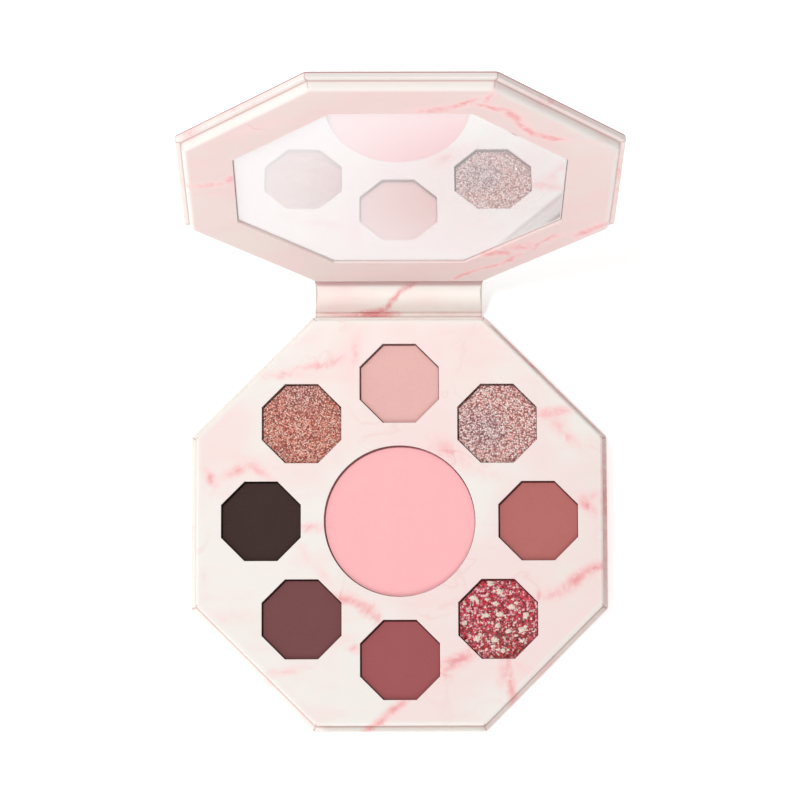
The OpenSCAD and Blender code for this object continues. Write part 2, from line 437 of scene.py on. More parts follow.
class Paint:
    """A material under construction."""

    def __init__(self, name):
        self.material = bpy.data.materials.new(name)
        self.material.use_nodes = True
        self.tree = self.material.node_tree
        self.object_at = self.node("TexCoord", out="Object")

    def node(self, kind, settings=None, sockets=None, out=0):
        """Adds a node, sets it, then fills its sockets with values or links; returns one output."""
        node = self.tree.nodes.new(f"ShaderNode{kind}")
        for name, value in (settings or {}).items():
            setattr(node, name, value)
        for key, value in (sockets or {}).items():
            if isinstance(value, Value):
                self.tree.links.new(value.socket, node.inputs[key])
            else:
                node.inputs[key].default_value = value
        return Value(self, node.outputs[out])

    def maths(self, operation, *values, clamp=False):
        """A Math node."""
        settings = {"operation": operation, "use_clamp": clamp}
        return self.node("Math", settings, dict(enumerate(values)))

    def vector(self, operation, *values, out=0, **sockets):
        """A Vector Math node."""
        return self.node(
            "VectorMath", {"operation": operation}, {**dict(enumerate(values)), **sockets}, out)

    def scatter(self, colours):
        """Random shifts evenly about zero, from the random colours of a noise or of cells."""
        return self.vector("SUBTRACT", colours, (0.5, 0.5, 0.5))

    def moved(self, at, shift, far):
        """Points moved by a shift made this many times as long."""
        return self.vector("ADD", at, self.vector("SCALE", shift, Scale=far))

    def mix(self, factor, first, second, blend="MIX"):
        """A colour between two; a plain colour has three or four numbers."""
        pair = [c if isinstance(c, Value) else (*c[:3], 1) for c in (first, second)]
        settings = {"data_type": "RGBA", "blend_type": blend}
        return self.node("Mix", settings, {0: factor, 6: pair[0], 7: pair[1]}, out=2)

    def layered(self, ground, *layers):
        """A ground with colours laid over it in turn; each layer is a strength and a colour."""
        for strength, tone in layers:
            ground = self.mix(strength, ground, tone)
        return ground

    def noise(self, at, size, detail=2.0, out="Fac", **sockets):
        """Noise whose features are about size across, in the units of at."""
        sockets = {"Vector": at, "Scale": 1 / size, "Detail": detail, **sockets}
        return self.node("TexNoise", {}, sockets, out)

    def cells(self, at, size, out="Color"):
        """Random cells about size across."""
        return self.node("TexVoronoi", {}, {"Vector": at, "Scale": 1 / size}, out)

    def flat(self, place):
        """Object coordinates brought back to the flat sheet, in millimetres."""
        where, turned, _ = place.decompose()
        sockets = {"Vector": self.object_at, "Location": where, "Rotation": turned.to_euler(),
                   "Scale": (MM, MM, MM)}
        return self.node("Mapping", {"vector_type": "TEXTURE"}, sockets)

    def parts(self, vector):
        """The three numbers of a vector."""
        return [self.node("SeparateXYZ", {}, {0: vector}, out=i) for i in range(3)]

    def bump(self, height, distance, strength=1.0):
        """A normal bent by a height; distance is its depth in metres."""
        return self.node("Bump", {}, {"Height": height, "Distance": distance, "Strength": strength})

    def veil(self, factor, tone):
        """Lays a matte haze of one tone over the shader."""
        shader = Value(self, self.tree.nodes["Principled BSDF"].outputs[0])
        haze = self.node("BsdfDiffuse", {}, {"Color": (*tone, 1)})
        both = self.node("MixShader", {}, {0: factor, 1: shader, 2: haze})
        self.tree.links.new(both.socket, self.tree.nodes["Material Output"].inputs["Surface"])

    def finish(self, **sockets):
        """Fills the shader's sockets; an underscore in a name stands for a space."""
        shader = self.tree.nodes["Principled BSDF"]
        for name, value in sockets.items():
            socket = shader.inputs[name.replace("_", " ")]
            if isinstance(value, Value):
                self.tree.links.new(value.socket, socket)
            elif socket.type == "RGBA":
                socket.default_value = (*value[:3], 1)
            else:
                socket.default_value = value
        return self.material


def tints():
    """The colour settings."""
    return bpy.context.scene.palette_colours


def sizes():
    """The size settings."""
    return bpy.context.scene.palette_sizes


def painting(name, place=BASE_PLACE):
    """A new material and its coordinates on the flat sheet."""
    paint = Paint(name)
    return paint, paint.flat(place)


def dimmed(tone, share_kept):
    """A darker kind of a colour."""
    return [c * share_kept for c in tone]


def shared(name, make):
    """A material made once and then used again."""
    return bpy.data.materials.get(name) or make()


# How many half widths a vein's wash reaches out, and a half depth that takes in every fold
VEIN_SPREAD = 2.2
ANY_DEPTH = 1e4
# The print's veins are brush strokes on the flat sheet: place, half length and half width in
# millimetres, direction in degrees, and strength. The tray's sheet is centred on the tray.
TRAY_VEINS = [
    (-33, 42.3, 6, 1.3, 0, 0.42), (-25, 44.6, 5, 1.2, 8, 0.58), (-17, 46.5, 5, 1.3, 18, 0.40),
    (-13, 48.5, 4.5, 1.2, 80, 0.55), (-54, 12.3, 2.6, 1.2, -50, 0.80), (-52, 10, 3, 0.8, 60, 0.35),
    (-46.5, 14.2, 4, 1.2, 25, 0.70), (-40.5, 14.3, 4.2, 1.2, -32, 0.65),
    (-25, -2, 3.6, 1.1, -10, 0.55), (-27, -10, 4, 1.2, -70, 0.30),
    (-22, -15.5, 4.5, 1.3, -45, 0.35), (-15, -21.8, 4.2, 1.1, -18, 0.80),
    (-10.5, -24.5, 4.2, 1.3, -48, 0.75), (-7, -28, 4, 1.5, -60, 0.50), (-50, -27, 9, 2, 0, 0.28),
    (-13, -37, 2.4, 1.2, 0, 0.55), (-18, -35, 6, 1.5, 15, 0.28), (-33, -43.5, 6, 1, 15, 0.42),
    (-1, -53.3, 4.2, 1, 40, 0.85), (-6.5, -58, 4.5, 1.1, 46, 0.80),
    (16.5, -40, 5.5, 1.8, 36, 0.90), (12.5, -43, 3.5, 1.4, 50, 0.50),
    (30, -41, 4.5, 1.6, 78, 0.75), (31.5, -47, 5, 1.2, -84, 0.80), (34.5, -42, 3, 1.5, -25, 0.40),
    (44, -21, 5.5, 1.4, 15, 0.60), (50.5, -17.5, 4.5, 1.6, 28, 0.90),
    (55.5, -14.3, 4.5, 1.5, 33, 0.80), (54, 4.5, 2.8, 1.5, -52, 0.85),
    (55.5, 7, 2.8, 1.2, 30, 0.50), (43.5, 31, 4.5, 1.5, 4, 0.75), (46, 27, 4.5, 1.9, -62, 0.50),
    (48.5, 23.8, 4.5, 1.5, -45, 0.55), (53, 21.5, 5, 0.9, -18, 0.28), (13, 20, 4, 2.6, -30, 0.60),
    (18, 17.5, 4.5, 2, -36, 0.42), (24, 14, 5.5, 2, -10, 0.34), (57.5, 34, 5, 2.5, -45, 0.45),
    (-26, -56, 8, 1.6, -40, 0.25), (60.4, 4, 24, 2.2, 90, 0.68), (43, -43, 20, 1.6, 45, 0.42),
    (43, 43, 22, 2, -45, 0.60),
]
# The lid's sheet is centred on the mirror, with the spine at its lower edge.
LID_VEINS = [
    (10, 47.6, 7, 1.5, 14, 0.70), (16, 50.5, 4.5, 1.4, 30, 0.85), (23, 53, 3.5, 1, 70, 0.75),
    (24, 47.8, 5.5, 1, -18, 0.90), (29, 44, 4.8, 1.2, -50, 0.90), (31.3, 39, 4, 1, -72, 0.75),
    (34.2, 35, 4, 1.1, -45, 0.90), (39, 32, 4.2, 1.2, -28, 0.90), (48, 29, 8, 1, -5, 0.35),
    (-52, 4, 5.5, 1.5, 10, 0.65), (-46, 7.5, 3.5, 1.5, 60, 0.75), (-51, -1, 7, 3.5, 0, 0.20),
    (-37, 38, 8, 3, 32, 0.35), (-56, 31, 4, 1.6, 45, 0.60), (27, -39, 4.5, 1.5, 8, 0.85),
    (35, -34, 4.5, 2.2, 20, 0.70), (42, -29, 4.2, 1.5, 42, 0.60), (51.5, -25, 4, 1.6, 44, 0.85),
    (55.5, -21.5, 3.5, 1.3, 32, 0.75), (19, -52.5, 5.5, 0.9, 44, 0.85),
    (26, -47, 5.5, 0.8, 34, 0.75), (31.5, -42.5, 4.8, 0.9, 55, 0.75),
    (-30, -46, 9, 2.4, -28, 0.18), (-10, -52, 12, 2, 0, 0.22), (46, 44, 5, 1.2, -42, 0.45),
    (-38, 52, 6, 1.6, 45, 0.50), (43, 43, 18, 1.8, -45, 0.42), (-43, 43, 18, 1.6, 45, 0.36),
    (60.4, 0, 20, 2, 90, 0.50), (-36, 18, 7, 1.2, 38, 0.60), (-28, 24, 6.5, 1.5, 30, 0.85),
    (-19, 25, 6, 1.2, -18, 0.75), (-11, 20, 6, 1.5, -48, 0.90), (-5, 12, 6, 1.2, -62, 0.75),
    (2, 5, 6.5, 1.5, -35, 0.90), (11, 0, 6, 1.1, -20, 0.75), (20, -5, 6.5, 1.4, -38, 0.85),
    (27, -12, 6, 1, -52, 0.65), (6, -5, 6.5, 1, -72, 0.60), (8, -16, 6, 1.2, -80, 0.70),
    (-20, 8, 9, 1.8, 55, 0.32), (-30, -16, 7.5, 1.6, 12, 0.45), (-22, -13, 5, 1.1, 40, 0.55),
    (16, 24, 8, 2.2, 20, 0.30),
]
# The spine's sheet is centred on the middle of the base crease.
SPINE_VEINS = [
    (-7.5, 1.3, 4.5, 1.3, 6, 1), (-5.5, 2.2, 2, 1, 30, 0.9), (-3.4, 4, 3, 0.6, 62, 0.85),
    (-0.6, 8, 3.6, 0.7, 52, 0.80), (3.6, 11.6, 3.6, 0.8, 40, 0.80), (-15, 0.9, 7, 0.6, 0, 0.50),
    (14, 1.4, 12, 1.2, 0, 0.28), (10, 6.5, 6, 2, 4, 0.14), (-12, 7.5, 7, 1.6, -4, 0.12),
]


# Where the papers are folded hard, darker lines that are also painted shade in the grooves and gaps
# beside the folds: distance from the middle, height, width of the line and strength, the first three
# in millimetres on the flat sheet.
COVER_FOLD_SHADES = [(60.0, 0.38, 0.32, 0.90), (58.5, 2.0, 0.42, 0.50)]
TRAY_FOLD_SHADES = [(58.3, 9.2, 0.34, 0.40)]
# The spine's creases, painted shade in their grooves: place, width of the darker band and strength.
SPINE_CREASE_SHADES = [(0.3, 0.4, 0.30), (2.2, 0.5, 0.25), (12.6, 1.7, 0.75)]
# How each sheet is printed: its share of hair veins, how pink its ground is, and how much darker
# or lighter than the tray's its ground is made: painted shade on the lid, painted light on the spine
PRINTS = {
    "tray": (0.22, 0.12, (1, 1, 1)),
    "lid": (0.22, 0.6, (0.94, 0.88, 0.88)),
    "spine": (0.1, 0.0, (1.11, 1.10, 1.10)),
}
# Features of the print, by their size in millimetres
BENDS, RAGS, GRAIN, HAIRS, HAIR_PATCHES = 11, 2.6, 1.8, 30, 24
PINK_CLOUDS, GREEN_CLOUDS, WISPS, FIBRES = 34, 22, 9, 0.18
# How far the bends sway a vein on a face and how much more per millimetre down a wall, and how far
# the rags fray it
SWAY, SWAY_DOWN, FRAY = 4.0, 0.5, 0.9
# Where the painted highlight along the outer edges starts, and the height over which it sets in
RIM_HIGHLIGHT, RIM_HIGHLIGHT_HEIGHT = (56.4, 57.8), (0.05, 0.3)
# The mitred corners' line: its half width, where it starts and its strength
MITRE, MITRE_START, MITRE_STRENGTH = (0.05, 0.24), (57.6, 58.0), 0.55
# A darker line near the spine's ends: where it lies from the end, and its strength
END_LINE, END_STRENGTH = (0.7, 0.35), 0.3


def quarter(paint, at):
    """How far a point lies from the middle along X and along Y."""
    return [part.math("ABSOLUTE") for part in paint.parts(at)[:2]]


def across(x, y):
    """How far a point lies from the middle, measured square to the nearest side of an octagon."""
    return x.math("MAXIMUM", y).math("MAXIMUM", (x + y) * DIAGONAL)


def fold_and_shade_lines(paint, at, fold_shade_list):
    """Darker lines at the folds and mitred corners of a cover's paper, with painted shade beside the folds."""
    x, y = quarter(paint, at)
    height = paint.parts(at)[2]
    out = across(x, y)
    mitre = (x.math("MAXIMUM", y) - (x + y) * DIAGONAL).math("ABSOLUTE")
    lines = (1 - mitre.between(*MITRE)) * out.between(*MITRE_START) * MITRE_STRENGTH
    for reach, level, width, strength in fold_shade_list:
        off = (out - reach).math("ABSOLUTE").math("MAXIMUM", (height - level).math("ABSOLUTE"))
        lines = lines.math("MAXIMUM", (1 - off.between(width * 0.3, width)) * strength)
    return lines


def crease_shade_lines(paint, at):
    """Painted shade along the spine's creases, and a darker line near its ends."""
    x, y, _ = paint.parts(at)
    ends = [SPINE_L / MM / 2 - inset for inset in END_LINE]
    lines = x.math("ABSOLUTE").between(*ends) * END_STRENGTH
    for place, width, strength in SPINE_CREASE_SHADES:
        off = (y - place).math("ABSOLUTE")
        lines = lines.math("MAXIMUM", (1 - off.between(width * 0.2, width)) * strength)
    return lines


def vein_field(paint, bent, veins):
    """How strongly a point lies in a vein, by the strongest brush stroke over it."""
    field = paint.maths("ADD", 0.0, 0.0)
    for x, y, half_length, half_width, direction, strength in veins:
        stroke = paint.node("Mapping", {"vector_type": "TEXTURE"}, {
            "Vector": bent, "Location": (x, y, 0), "Rotation": (0, 0, math.radians(direction)),
            "Scale": (half_length, half_width, ANY_DEPTH)})
        reach = paint.vector("LENGTH", stroke, out="Value")
        field = field.math("MAXIMUM", reach.math("MULTIPLY_ADD", -strength / VEIN_SPREAD, strength))
    return field * (0.55 + paint.noise(bent, GRAIN, 4).between(0.22, 0.62) * 0.5)


def marble(name, veins, place, top, fold_shading, hairy, rosy, depth):
    """Satin paper printed as pink-veined marble, darker at folds and seams, with painted shade in grooves."""
    paint, at = painting(name, place)
    tint = tints()
    height = paint.parts(at)[2]
    sway = paint.scatter(paint.noise(at, BENDS, 2, "Color"))
    fray = paint.scatter(paint.noise(at, RAGS, 3, "Color"))
    bent = paint.moved(at, sway, (top / MM - height) * SWAY_DOWN + SWAY)
    bent = paint.moved(bent, fray, FRAY)
    field = vein_field(paint, bent, veins)
    ridge = paint.noise(bent, HAIRS, 3, Distortion=0.8)
    hair = 1 - (ridge - 0.5).math("ABSOLUTE").between(0.0, 0.016)
    patch = paint.noise(at, HAIR_PATCHES, 2).between(0.46, 0.66)
    hair = hair * (patch * hairy + field.between(0.1, 0.4) * 0.5)
    clouds = paint.noise(at, PINK_CLOUDS, 2).between(0.38, 0.62)
    aside = paint.vector("ADD", at, (90, 40, 10))
    greens = paint.noise(aside, GREEN_CLOUDS, 3).between(0.45, 0.70)
    drawn_out = paint.vector("MULTIPLY", bent, (0.5, 1.4, 1))
    wisps = paint.noise(drawn_out, WISPS, 4).between(0.50, 0.72)
    ground = paint.layered(
        tint.cream, (clouds * (1 - rosy) + rosy, tint.rosy_white), (greens * 0.5, tint.sage_white),
        (wisps * 0.28, tint.vein_wash))
    # The lid's ground is darkened as painted shade and the spine's lightened as painted light
    ground = paint.mix(1.0, ground, depth, "MULTIPLY")
    # A painted highlight along the outer edges, laid on in cream
    rim_highlight = across(*quarter(paint, at)).between(*RIM_HIGHLIGHT) * height.between(*RIM_HIGHLIGHT_HEIGHT)
    # The fold lines are darker folds and seams, with painted shade in the grooves beside them
    inked = paint.layered(
        ground, (rim_highlight * 0.8, tint.cream), (field.between(0.02, 0.42) * 0.75, tint.vein_wash),
        (field.between(0.26, 0.70), tint.vein), (field.between(0.55, 0.92) * 0.7, tint.vein_core),
        (hair * 0.6, tint.vein_core), (fold_shading(paint, at), tint.fold_and_shade_line))
    fibre = paint.noise(at, FIBRES, 3)
    return paint.finish(
        Base_Color=inked, Roughness=0.42 + fibre * 0.1, Specular_IOR_Level=0.4,
        Normal=paint.bump(fibre, 0.012 * MM))


def paper(sheet):
    """The printed paper of the tray's, the lid's or the spine's sheet."""
    cover = partial(fold_and_shade_lines, fold_shade_list=COVER_FOLD_SHADES)
    tray = partial(fold_and_shade_lines, fold_shade_list=COVER_FOLD_SHADES + TRAY_FOLD_SHADES)
    sheets = {
        "tray": (TRAY_VEINS, BASE_PLACE, TRAY_TOP, tray),
        "lid": (LID_VEINS, LID_PLACE, COVER_T + sizes().frame_t, cover),
        "spine": (SPINE_VEINS, SPINE_SHEET_PLACE, COVER_T, crease_shade_lines),
    }
    name = f"marble_{sheet}"
    return shared(name, lambda: marble(name, *sheets[sheet], *PRINTS[sheet]))


# How far apart in one cloudy block the powders are cut, in millimetres, so that no two are alike
POWDER_APART = 17


def powder_shader(name, tone, number):
    """Matte pressed powder: fine grain, a faint cloudiness and small pits."""
    paint, at = painting(name)
    grain = paint.noise(at, 0.22, 3)
    own = paint.vector("ADD", at, (0, 0, POWDER_APART * number))
    light = [min(1, c * 1.05 + 0.005) for c in tone]
    shade = paint.layered(
        dimmed(tone, 0.93), (grain.between(0.25, 0.75), light),
        (paint.noise(own, 7, 2).between(0.3, 0.8) * 0.40, light))
    pits = paint.noise(at, 0.45, 4).between(0.2, 0.6)
    return paint.finish(
        Base_Color=shade, Roughness=0.88 + grain * 0.1, Specular_IOR_Level=0.25,
        Normal=paint.bump(grain * 0.5 + pits, 0.015 * MM))


# The glitters' second tone: its place from the pan's middle in millimetres and its colour; then the
# colour of the brightest grains, pale grains with a painted glint, how rare they are, and how
# much loose pearl lies among them.
ZONES = {
    CHAMPAGNE: ((-4, -2), (0.70, 0.49, 0.50), (1.0, 0.90, 0.86), 0.40, 0.0),
    RASPBERRY: ((3, -7), (0.56, 0.07, 0.06), (1.0, 0.60, 0.66), 0.56, 0.9),
    COPPER: ((0, 10), (0.74, 0.34, 0.30), (1.0, 0.73, 0.62), 0.42, 0.0),
}
# Painted shade in the gaps between the grains, as what it leaves of the colour, and how far the grains lean
GAP_SHADE_TONE = (0.28, 0.12, 0.12)
GRAIN_LEAN = 0.7


def glitter_shader(name, tone, number):
    """Pressed glitter: grains with their own tone, gloss and facing; painted shade and glint among them."""
    (x, y), zone_tone, bright_and_glint, rare, pearl = ZONES[number]
    size = GLITTERS[number] / MM
    paint, at = painting(name)
    torn = paint.scatter(paint.noise(at, size * 0.8, 2, "Color"))
    grains = paint.moved(at, torn, size * 1.3)
    cells = paint.cells(grains, size)
    lucky, glossy, coarse = paint.parts(cells)
    # Painted shade in the gaps between the grains
    gap_shade = paint.cells(grains, size, "Distance").between(0.32, 0.72)
    zone = Vector((x, y, 0)) + shade_centre(number) / MM
    away = paint.vector("DISTANCE", at, zone, out="Value") + paint.noise(at, 5, 2) * 6
    ground = paint.mix(away.between(4, 13), zone_tone, tone)
    # A darker tone for some grains, also used as the painted shade in the gaps
    dark_and_shade = paint.mix(1.0, ground, GAP_SHADE_TONE, "MULTIPLY")
    # The brightest grains: pale grains with a painted glint
    light = paint.mix(0.9, ground, bright_and_glint)
    loose = paint.noise(grains, 1.1, 3).between(0.60, 0.63)
    fill = paint.layered(
        dark_and_shade, (lucky.between(0.0, 0.35), ground), (lucky.between(rare, rare + 0.38), light),
        (gap_shade * 0.9, dark_and_shade), (loose * pearl, tints().flake))
    up = paint.node("NewGeometry", out="Normal")
    normal = paint.vector("NORMALIZE", paint.moved(up, paint.scatter(cells), GRAIN_LEAN))
    return paint.finish(
        Base_Color=fill, Metallic=glossy.between(0.55, 0.95) * 0.5, Roughness=0.28 + coarse * 0.35,
        Normal=normal)


def flake_shader():
    """Pearl, a little mottled."""
    paint, at = painting("pearl_flake")
    mottle = paint.noise(at, 0.5, 3).between(0.35, 0.7)
    shade = paint.mix(mottle, tints().flake, dimmed(tints().flake, 0.72))
    return paint.finish(
        Base_Color=shade, Roughness=0.35 + mottle * 0.2, Normal=paint.bump(mottle, 0.04 * MM))


def board_shader(name, tone):
    """Pressed board or card: matte fibres and flecks."""
    paint, at = painting(name)
    fibre = paint.noise(paint.vector("MULTIPLY", at, (1, 4, 4)), 1.2, 4)
    flecks = paint.cells(at, 1.5, "Distance")
    shade = paint.layered(
        tone, (fibre.between(0.3, 0.7) * 0.35, dimmed(tone, 0.7)),
        ((1 - flecks.between(0.02, 0.12)) * 0.4, dimmed(tone, 0.45)))
    return paint.finish(
        Base_Color=shade, Roughness=0.85 + fibre * 0.1, Normal=paint.bump(fibre, 0.05 * MM))


def metal_shader(name, tone, roughness):
    """Plated sheet metal with drawn lines and faint marks."""
    paint, at = painting(name)
    drawn = paint.noise(paint.vector("MULTIPLY", at, (0.15, 3, 1)), 0.5, 3)
    marks = paint.noise(at, 3, 4)
    shade = paint.mix(marks.between(0.35, 0.75) * 0.3, tone, dimmed(tone, 0.8))
    return paint.finish(
        Base_Color=shade, Metallic=1.0, Roughness=roughness + drawn * 0.18,
        Normal=paint.bump(drawn, 0.004 * MM))


def tape_shader():
    """Closed-cell foam tape."""
    paint, at = painting("foam_tape")
    cells = paint.cells(at, 0.35, "Distance")
    shade = paint.mix(cells * 0.5, tints().tape, dimmed(tints().tape, 0.7))
    return paint.finish(
        Base_Color=shade, Roughness=0.8 + cells * 0.1, Normal=paint.bump(cells, 0.06 * MM))


def floor_shader(glow):
    """A nearly white floor that gives back a little light of its own."""
    paint, at = painting("pale_floor")
    mottle = paint.noise(at, 60, 2)
    return paint.finish(
        Base_Color=paint.mix(mottle, tints().floor, dimmed(tints().floor, 0.985)), Roughness=0.9,
        Specular_IOR_Level=0.1, Emission_Color=(1, 1, 1), Emission_Strength=glow)


# The mirror is clearest at one spot and its haze grows with the distance from it, in millimetres,
# from the least by the gain. The silvered face starts between two heights, over the ground edge.
CLEAR_SPOT = (31, 0, 0)
HAZE_REACH, HAZE_LEAST, HAZE_GAIN = (6, 72), 0.22, 0.54
HAZE_TONE = (0.985, 0.965, 0.972)
MIRROR_FACE = (3.60, 3.66)


def mirror_shader():
    """Silvered glass, clear in one spot and hazed round it, with a ground greenish edge."""
    paint, at = painting("mirror_glass", LID_PLACE)
    tint = tints()
    height = paint.parts(at)[2]
    smears = paint.noise(paint.vector("MULTIPLY", at, (1, 0.35, 1)), 30, 3)
    away = paint.vector("DISTANCE", at, CLEAR_SPOT, out="Value") + smears * 5
    haze = away.between(*HAZE_REACH) * HAZE_GAIN + HAZE_LEAST
    face = height.between(*MIRROR_FACE)
    paint.veil(haze * face, HAZE_TONE)
    shade = paint.mix(face, tint.glass_edge, tint.silver)
    uphill = LID_PLACE.to_3x3() @ Vector((0, -math.tan(sizes().mirror_lean), 0))
    lean = paint.vector("ADD", paint.node("NewGeometry", out="Normal"), uphill)
    return paint.finish(
        Base_Color=shade, Metallic=face * 0.999, Roughness=0.015 + smears * 0.01,
        Normal=paint.vector("NORMALIZE", lean))


# --- Pieces ---

# The seams' bars: their length and how far in from the corner their middle lies
SEAM_L, SEAM_INSET = 8 * MM, 2 * MM


def seams():
    """Thin bars that mark the eight mitred corners of a wrapped board."""
    width = sizes().seam
    reach = COVER_W / 2 / math.cos(HALF_STEP)
    bars = []
    for corner in range(SIDES):
        bpy.ops.mesh.primitive_cube_add(size=1, location=(reach - SEAM_INSET, 0, COVER_T))
        bpy.context.object.scale = (SEAM_L, width, 2 * width)
        turn = Matrix.Rotation(HALF_STEP + corner * STEP, 4, "Z")
        bars.append(settle(bpy.context.object, turn))
    return joined(bars)


def wrapped_cover(name):
    """The paper round a cover board, turned in over its inner face with mitred corners."""
    size = sizes()
    cover = soft_octagon(
        name, COVER_W, 0, COVER_T, size.corner, size.cover_edge, COVER_SEGMENTS, 0, COVER_T)
    board = octagon("board", COVER_W - 2 * PAPER_T, PAPER_T, COVER_T - PAPER_T)
    opening = octagon("opening", COVER_W - 2 * size.turn_in, COVER_T / 2, COVER_T + MM)
    carve(cover, board, opening, seams())
    return cover


class PALETTE_OT_base_cover(bpy.types.Operator):
    """Adds the printed paper round the base cover board"""

    bl_idname = "palette.base_cover"
    bl_label = "Base cover paper"

    def execute(self, context):
        cover = wrapped_cover("base_cover_paper")
        finish(cover, "base", paper("tray"), "marble_paper", "base_wrap")
        return {"FINISHED"}


class PALETTE_OT_tray_paper(bpy.types.Operator):
    """Adds the printed paper over the tray, with its eight octagonal windows and the round one"""

    bl_idname = "palette.tray_paper"
    bl_label = "Tray paper"

    def execute(self, context):
        size = sizes()
        tray, inside = hollow_block("tray_paper", TRAY_TOP, size.tray_edge, size.corner)
        z0, z1 = TRAY_TOP - 2 * MM, TRAY_TOP + 2 * MM
        windows = [octagon("window", size.window_w, z0, z1, shade_centre(i).xy) for i in SHADES]
        bpy.ops.mesh.primitive_cylinder_add(
            vertices=ROUND_SIDES, radius=size.blush_window_d / 2, depth=z1 - z0,
            location=(0, 0, (z0 + z1) / 2))
        windows.append(added("round_window"))
        carve(tray, inside, joined(windows))
        with editing(tray, "EDGE",
                     lambda e: is_level(tray, e, TRAY_TOP) and self.at_window(middle(tray, e))):
            bevel(size.window_edge, FINE_SEGMENTS)
        finish(tray, "base", paper("tray"), "marble_paper", "tray_wrap")
        return {"FINISHED"}

    def at_window(self, point):
        """Whether a point lies on the border of one of the tray's windows."""
        size = sizes()
        if abs(point.xy.length - size.blush_window_d / 2) < 0.1 * MM:
            return True
        for i in SHADES:
            x, y = (abs(c) for c in point.xy - shade_centre(i).xy)
            if abs(max(x, y, (x + y) * DIAGONAL) - size.window_w / 2) < 0.05 * MM:
                return True
        return False


# Cuts across the spine's papers, and rings of a crease
SPINE_CUTS = 7
CREASE_RINGS = 12


def spine_strip(name, y, span, z0, z1):
    """A flat strip as long as the spine, with its middle at y."""
    bpy.ops.mesh.primitive_cube_add(size=1, location=(0, y, (z0 + z1) / 2))
    bpy.context.object.scale = (SPINE_L, span, z1 - z0)
    return added(name)


def cut_across(strip, y):
    """Cuts a strip across and keeps it in one piece."""
    with editing(strip, "FACE", lambda f: True):
        bpy.ops.mesh.bisect(plane_co=(0, y, 0), plane_no=(0, 1, 0), threshold=TINY)


class PALETTE_OT_spine_papers(bpy.types.Operator):
    """Adds the printed papers outside and inside the spine"""

    bl_idname = "palette.spine_papers"
    bl_label = "Spine papers"

    def slab(self, name, z0, z1, edge, edge_z):
        """A strip as long and wide as the spine, with its ends bowed in a little and rounded."""
        span = (LID_FOLD_FLAT - BASE_FOLD).y - CREASE_GAP
        mid_y = (LID_FOLD_FLAT + BASE_FOLD).y / 2
        strip = spine_strip(name, mid_y, span, z0, z1)
        for k in range(1, SPINE_CUTS + 1):
            along = k / (SPINE_CUTS + 1)
            y = mid_y + span * (along - 0.5)
            cut_across(strip, y)
            bow = 1 - sizes().spine_bow * (1 - (2 * along - 1) ** 2)
            with editing(strip, "VERT", lambda v, y=y: abs(v.co.y - y) < NEAR):
                bpy.ops.transform.resize(value=(bow, 1, 1), center_override=(0, y, 0))
        ends = SPINE_L / 2 * (1 - 2 * sizes().spine_bow)
        with editing(strip, "EDGE",
                     lambda e: is_level(strip, e, edge_z) and abs(middle(strip, e).x) > ends):
            bevel(edge, COVER_SEGMENTS)
        return settle(strip, SPINE_PLACE)

    def execute(self, context):
        seat = COVER_T - PAPER_T
        outside = self.slab("spine_outer_paper", 0, seat, sizes().cover_edge, 0)
        finish(outside, "spine", paper("spine"), "marble_paper", "spine_wrap")
        inside = self.slab("spine_inner_paper", seat, COVER_T, PAPER_T * 0.6, COVER_T)
        finish(inside, "spine", paper("spine"), "marble_paper", "spine_liner")
        return {"FINISHED"}


class PALETTE_OT_creases(bpy.types.Operator):
    """Adds the two paper hinges, bent to meet the spine and the lid"""

    bl_idname = "palette.creases"
    bl_label = "Paper creases"

    def crease(self, name, fold, angle):
        """A paper bridge between two boards, pinched in the middle and bent by angle."""
        strip = spine_strip(name, fold.y, CREASE_GAP, 0, COVER_T)
        places = [2 * k / CREASE_RINGS - 1 for k in range(CREASE_RINGS + 1)]
        for s in places[1:-1]:
            cut_across(strip, fold.y + s * CREASE_GAP / 2)
        vertices = strip.data.vertices
        rings = [
            {v.index for v in vertices if abs(v.co.y - fold.y - s * CREASE_GAP / 2) < NEAR}
            for s in places]
        waist = sizes().crease_waist / COVER_T
        for s, ring in zip(places, rings):
            pinch = 1 - (1 - waist) * math.sqrt(1 - s * s)
            along = (s + 1) / 2
            turn = along ** 2 * (3 - 2 * along) * angle
            with editing(strip, "VERT", lambda v, ring=ring: v.index in ring):
                bpy.ops.transform.resize(value=(1, 1, pinch), center_override=fold)
                bpy.ops.transform.rotate(value=-turn, orient_axis="X", center_override=fold)
        return strip

    def execute(self, context):
        base = self.crease("base_crease_paper", BASE_FOLD, SPINE_ANGLE)
        finish(base, None, paper("spine"), "marble_paper", "base_crease", shaded=False)
        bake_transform(base)
        lid = settle(self.crease("lid_crease_paper", LID_FOLD_FLAT, LID_ANGLE), SPINE_PLACE)
        finish(lid, None, paper("spine"), "marble_paper", "lid_crease", shaded=False)
        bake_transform(lid)
        return {"FINISHED"}


class PALETTE_OT_lid_cover(bpy.types.Operator):
    """Adds the printed paper round the lid's cover board"""

    bl_idname = "palette.lid_cover"
    bl_label = "Lid cover paper"

    def execute(self, context):
        cover = settle(wrapped_cover("lid_cover_paper"), LID_PLACE)
        finish(cover, "lid", paper("lid"), "marble_paper", "lid_wrap")
        return {"FINISHED"}


